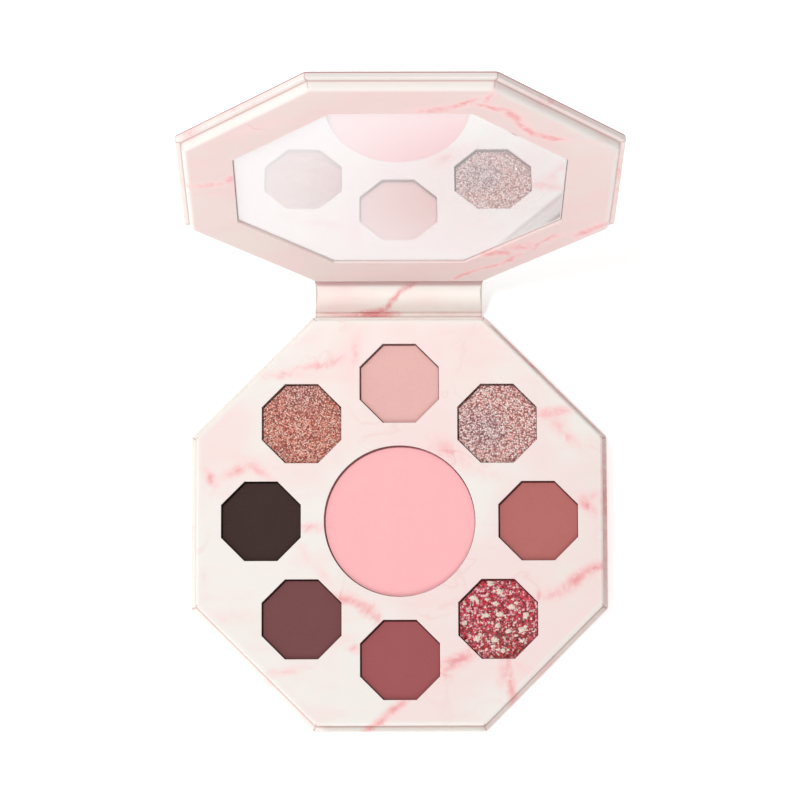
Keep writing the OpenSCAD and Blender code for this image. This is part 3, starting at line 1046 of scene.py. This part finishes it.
class PALETTE_OT_mirror_frame(bpy.types.Operator):
    """Adds the softly rounded paper over the mirror frame"""

    bl_idname = "palette.mirror_frame"
    bl_label = "Mirror frame paper"

    def execute(self, context):
        size = sizes()
        top = COVER_T + size.frame_t
        core = octagon("core", size.mirror_window_w, -MM, top)
        wrap, inside = hollow_block(
            "mirror_frame_paper", top, size.frame_edge, size.frame_corner, core)
        lined_w = size.mirror_window_w - 2 * size.lining
        carve(wrap, inside, octagon("window", lined_w, 0, top + 2 * MM))
        reach = lined_w / 2 / math.cos(HALF_STEP) + 0.1 * MM
        with editing(wrap, "EDGE",
                     lambda e: is_level(wrap, e, top) and middle(wrap, e).xy.length < reach):
            bevel(size.lining, FINE_SEGMENTS)
        settle(wrap, LID_PLACE)
        finish(wrap, "lid", paper("lid"), "marble_paper", "mirror_frame_wrap")
        return {"FINISHED"}


class PALETTE_OT_mirror(bpy.types.Operator):
    """Adds the mirror with its ground edge"""

    bl_idname = "palette.mirror"
    bl_label = "Mirror"

    def execute(self, context):
        size = sizes()
        back = COVER_T + size.tape_t
        glass = octagon("mirror_glass", MIRROR_W, back, back + size.mirror_t)
        with editing(glass, "EDGE", lambda e: is_level(glass, e, back + size.mirror_t)):
            bevel(size.mirror_arris, FINE_SEGMENTS)
        settle(glass, LID_PLACE)
        finish(glass, "lid", mirror_shader(), "mirror_glass", "mirror", smooth=20)
        return {"FINISHED"}


def settled(point):
    """Where the middle of a powder's top comes to lie when its pan has settled in its pocket."""
    shift = sizes().pan_shift
    return Vector((point.x + shift, point.y - shift, POWDER_TOP))


def within(window_w):
    """Width of the powder's top inside a window."""
    return window_w - 2 * sizes().shoulder_gap - 2 * sizes().pan_shift


def pressed_shade(number, pitch, relief, grain, depth):
    """A pressed shade with a fine rough top, its slot and its colour."""
    slot = SHADE_COLOURS[number - 1][0]
    centre = settled(shade_centre(number))
    top_w = within(sizes().window_w)
    sheet_w = top_w * 1.1
    divisions = round(sheet_w / pitch)
    bpy.ops.mesh.primitive_grid_add(
        x_subdivisions=divisions, y_subdivisions=divisions, size=sheet_w, location=centre)
    powder = added(f"pressed_{slot}")
    with editing(powder):
        for side in range(SIDES):
            out = Vector((math.cos(side * STEP), math.sin(side * STEP), 0))
            bpy.ops.mesh.select_all(action="SELECT")
            bpy.ops.mesh.bisect(
                plane_co=centre + out * top_w / 2, plane_no=out, clear_outer=True, threshold=TINY)
    roughen(powder, relief, grain, depth)
    sink(powder, centre, top_w, PAN_IN_W)
    return powder, slot, getattr(tints(), f"shade_{number}")


def sink(powder, centre, top_w, base_w):
    """Extrudes the border of a powder's top into a steep side, a ledge, walls and a bottom."""
    size = sizes()
    foot_w = top_w + size.side_lean
    ledge = (base_w - 2 * size.pan_shift) / foot_w
    wall = POWDER_BASE - (POWDER_TOP - size.shoulder_drop)
    with editing(powder):
        bpy.ops.mesh.select_mode(type="EDGE")
        bpy.ops.mesh.select_non_manifold()
        for drop, grow in ((-size.shoulder_drop, foot_w / top_w), (0, ledge), (wall, 1)):
            bpy.ops.mesh.extrude_region_move(TRANSFORM_OT_translate={"value": (0, 0, drop)})
            bpy.ops.transform.resize(value=(grow, grow, 1), center_override=centre)
        bpy.ops.transform.resize(value=(1, 1, 0), center_override=(centre.x, centre.y, POWDER_BASE))
        bpy.ops.mesh.edge_face_add()
        bpy.ops.mesh.select_all(action="SELECT")
        bpy.ops.mesh.normals_make_consistent(inside=False)


def roughen(powder, kind, size, depth):
    """Presses a small relief into a powder's top, downwards only."""
    texture = bpy.data.textures.new(f"{powder.name}_relief", kind)
    texture.noise_scale = size
    apply(powder, "DISPLACE", texture=texture, texture_coords="LOCAL", direction="Z",
          mid_level=1.0, strength=depth)


class PALETTE_OT_matte_shades(bpy.types.Operator):
    """Adds the five matte pressed shades"""

    bl_idname = "palette.matte_shades"
    bl_label = "Matte shades"

    def execute(self, context):
        for number in SHADES:
            if number in GLITTERS:
                continue
            powder, slot, tone = pressed_shade(number, 0.6 * MM, "CLOUDS", 2.2 * MM, 0.05 * MM)
            material = powder_shader(slot, tone, number)
            finish(powder, "base", material, slot, f"shade_powder_{number}")
        return {"FINISHED"}


class PALETTE_OT_glitter_shades(bpy.types.Operator):
    """Adds the three shimmering pressed shades, whose tops are a crust of grains"""

    bl_idname = "palette.glitter_shades"
    bl_label = "Glitter shades"

    def execute(self, context):
        for number, grain in GLITTERS.items():
            powder, slot, tone = pressed_shade(number, grain / 3, "VORONOI", grain, 0.14 * MM)
            material = glitter_shader(slot, tone, number)
            finish(
                powder, "base", material, slot, f"shade_powder_{number}", smooth=60, shaded=False)
        return {"FINISHED"}


# Pearl flakes in the raspberry glitter: place from the pan's middle and size, in millimetres.
FLAKES = [
    (-2.3, 10.3, 1.2), (-7.3, 6.2, 1.2), (-6.2, 5.4, 0.7), (0.2, 8, 1.2), (-3.6, 5.8, 0.6),
    (-0.8, 4.6, 1.1), (3.7, 3.6, 1.2), (0.2, 1.5, 1.3), (7.7, 1.2, 1.3), (-3.8, 1.2, 1.1),
    (-9.6, -0.9, 1), (-0.3, -1.9, 1), (2.7, -3.4, 1), (6.5, -2.9, 1.2), (7.6, -2.1, 0.7),
    (-6.3, -5.4, 1.3), (-5.4, -4.2, 0.7), (-1.3, -5.8, 1.3), (-1.6, -7.6, 0.8), (6.6, -6, 0.9),
    (1.2, -8.9, 1), (2.6, -8.6, 0.6), (4.9, -4.6, 0.6), (-4.9, -9, 0.5), (4.4, 9.2, 0.5),
    (-8.6, 2.6, 0.5),
]
# A flake's outline: its points, how far out they lie for its size and how raggedly; then how the
# flake is stretched, how much smaller its top is, how thick it is and how deep it lies
FLAKE_POINTS, FLAKE_REACH, FLAKE_TORN = 15, 0.72, 0.62
FLAKE_STRETCH, FLAKE_TOP = (1.2, 0.85, 0), (0.8, 0.8, 1)
FLAKE_T, FLAKE_DEPTH = 0.07 * MM, 0.02 * MM


class PALETTE_OT_pearl_flakes(bpy.types.Operator):
    """Adds the pearl flakes pressed into the raspberry glitter"""

    bl_idname = "palette.pearl_flakes"
    bl_label = "Pearl flakes"

    def execute(self, context):
        chance = random.Random(7)
        centre = settled(shade_centre(RASPBERRY))
        flakes = []
        for number, (x, y, size) in enumerate(FLAKES):
            at = centre + Vector((x * MM, y * MM, -FLAKE_DEPTH))
            radius = FLAKE_REACH * size * MM
            bpy.ops.mesh.primitive_circle_add(
                vertices=FLAKE_POINTS, radius=radius, fill_type="NGON", location=at,
                rotation=(0, 0, chance.uniform(0, math.pi)))
            flakes.append(added("flake"))
            with editing(flakes[-1], "FACE", lambda f: True):
                bpy.ops.transform.vertex_random(offset=radius * FLAKE_TORN, seed=number)
                bpy.ops.transform.resize(value=FLAKE_STRETCH, center_override=at)
                bpy.ops.mesh.extrude_region_move(TRANSFORM_OT_translate={"value": (0, 0, FLAKE_T)})
                bpy.ops.transform.resize(value=FLAKE_TOP, center_override=at)
        crust = joined(flakes)
        crust.name = "pearl_flakes"
        finish(crust, "base", flake_shader(), "raspberry_glitter", shaded=False)
        return {"FINISHED"}


class PALETTE_OT_blush(bpy.types.Operator):
    """Adds the round pressed blush"""

    bl_idname = "palette.blush"
    bl_label = "Blush"

    def execute(self, context):
        top_d = within(sizes().blush_window_d)
        centre = settled(Vector())
        bpy.ops.mesh.primitive_circle_add(vertices=ROUND_SIDES, radius=top_d / 2, location=centre)
        blush = added("pressed_blush")
        with editing(blush, "EDGE", lambda e: True):
            bpy.ops.mesh.fill_grid(span=ROUND_SIDES // 4)
            bpy.ops.mesh.select_all(action="SELECT")
            bpy.ops.mesh.subdivide(number_cuts=1)
        roughen(blush, "CLOUDS", 2.6 * MM, 0.05 * MM)
        sink(blush, centre, top_d, BLUSH_IN_D)
        finish(blush, "base", powder_shader("blush", tints().blush, BLUSH), "blush", "blush_powder")
        return {"FINISHED"}


class PALETTE_OT_inner_parts(bpy.types.Operator):
    """Gives the boards, pans, magnets and tape of the frame their materials"""

    bl_idname = "palette.inner_parts"
    bl_label = "Boards, pans and magnets"

    def execute(self, context):
        makers = {
            "greyboard": lambda: board_shader("greyboard", tints().greyboard),
            # The dark card is painted shade in the windows' walls
            "dyed_card": lambda: board_shader("dyed_card", tints().card),
            "tinplate": lambda: metal_shader("tinplate", tints().tinplate, 0.22),
            "magnet_plating": lambda: metal_shader("magnet_plating", tints().plating, 0.12),
            "foam_tape": tape_shader,
        }
        slots = {part["node"]: part["material_slot"] for part in frame["record"]["subparts"]}
        for name, node in frame["nodes"].items():
            if slots[name] not in makers:
                continue
            material = shared(slots[name], makers[slots[name]])
            if not node.material_slots:
                node.data.materials.append(material)
            for place in node.material_slots:
                place.material = material
        return {"FINISHED"}


# Each light's width, its place and the point that it faces
LIGHTS = {
    "key": (0.35, (-0.60, 0.24, 1.25), (0, 0.03, 0)),
    "side": (0.7, (-1.2, 0.1, 0.55), (0, 0.03, 0.03)),
    "front": (0.9, (0.05, -1.15, 1.0), (0, 0.06, 0.05)),
}


class PALETTE_OT_stage(bpy.types.Operator):
    """Adds the floor, the lights, the even sky and the camera"""

    bl_idname = "palette.stage"
    bl_label = "Stage"

    def light(self, name, power, size, at, towards):
        """A square soft light that faces a point."""
        lamp = bpy.data.lights.new(name, "AREA")
        lamp.energy = power
        lamp.size = size
        holder = bpy.data.objects.new(name, lamp)
        bpy.context.scene.collection.objects.link(holder)
        holder.location = at
        holder.rotation_euler = (Vector(towards) - Vector(at)).to_track_quat("-Z", "Y").to_euler()

    def execute(self, context):
        stage = context.scene.palette_stage
        bpy.ops.mesh.primitive_plane_add(size=stage.floor_w, location=(0, 0, -0.02 * MM))
        floor = added("floor")
        floor.data.materials.append(floor_shader(stage.floor_glow))
        for name, (size, at, towards) in LIGHTS.items():
            self.light(name, getattr(stage, f"{name}_power"), size, at, towards)
        world = bpy.data.worlds.new("sky")
        world.use_nodes = True
        sky = world.node_tree.nodes["Background"]
        sky.inputs["Color"].default_value = (1, 0.995, 0.99, 1)
        sky.inputs["Strength"].default_value = stage.sky
        context.scene.world = world
        lens = bpy.data.cameras.new("camera")
        lens.lens = stage.lens
        lens.sensor_width = 36
        lens.clip_end = 20
        camera = bpy.data.objects.new("camera", lens)
        context.scene.collection.objects.link(camera)
        turns = [Matrix.Rotation(a, 4, axis) for a, axis in zip(stage.camera_turn, "XYZ")]
        camera.matrix_world = Matrix.Translation(stage.camera_at) @ turns[0] @ turns[1] @ turns[2]
        context.scene.camera = camera
        context.scene.view_settings.view_transform = "Standard"
        return {"FINISHED"}


OPERATORS = (
    PALETTE_OT_stage, PALETTE_OT_base_cover, PALETTE_OT_tray_paper, PALETTE_OT_spine_papers,
    PALETTE_OT_creases, PALETTE_OT_lid_cover, PALETTE_OT_mirror_frame, PALETTE_OT_mirror,
    PALETTE_OT_matte_shades, PALETTE_OT_glitter_shades, PALETTE_OT_pearl_flakes, PALETTE_OT_blush,
    PALETTE_OT_inner_parts,
)


class PALETTE_PT_build(bpy.types.Panel):
    """Lists every step of the palette"""

    bl_idname = "PALETTE_PT_build"
    bl_label = "Eyeshadow palette"
    bl_space_type = "VIEW_3D"
    bl_region_type = "UI"
    bl_category = "Palette"

    def draw(self, context):
        """Shows a button for each step."""
        for operator in OPERATORS:
            self.layout.operator(operator.bl_idname)


GROUPS = {
    "palette_sizes": PaletteSizes, "palette_colours": PaletteColours, "palette_stage": PaletteStage}


def register():
    """Adds the classes and their settings to Blender."""
    for kind in (*GROUPS.values(), *OPERATORS, PALETTE_PT_build):
        bpy.utils.register_class(kind)
    for name, kind in GROUPS.items():
        setattr(bpy.types.Scene, name, PointerProperty(type=kind))


def unregister():
    """Takes them away again."""
    for name in GROUPS:
        delattr(bpy.types.Scene, name)
    for kind in (PALETTE_PT_build, *reversed(OPERATORS), *reversed(GROUPS.values())):
        bpy.utils.unregister_class(kind)


def main():
    """Builds everything."""
    register()
    for operator in OPERATORS:
        group, name = operator.bl_idname.split(".")
        getattr(getattr(bpy.ops, group), name)()


if __name__ == "__main__":
    main()
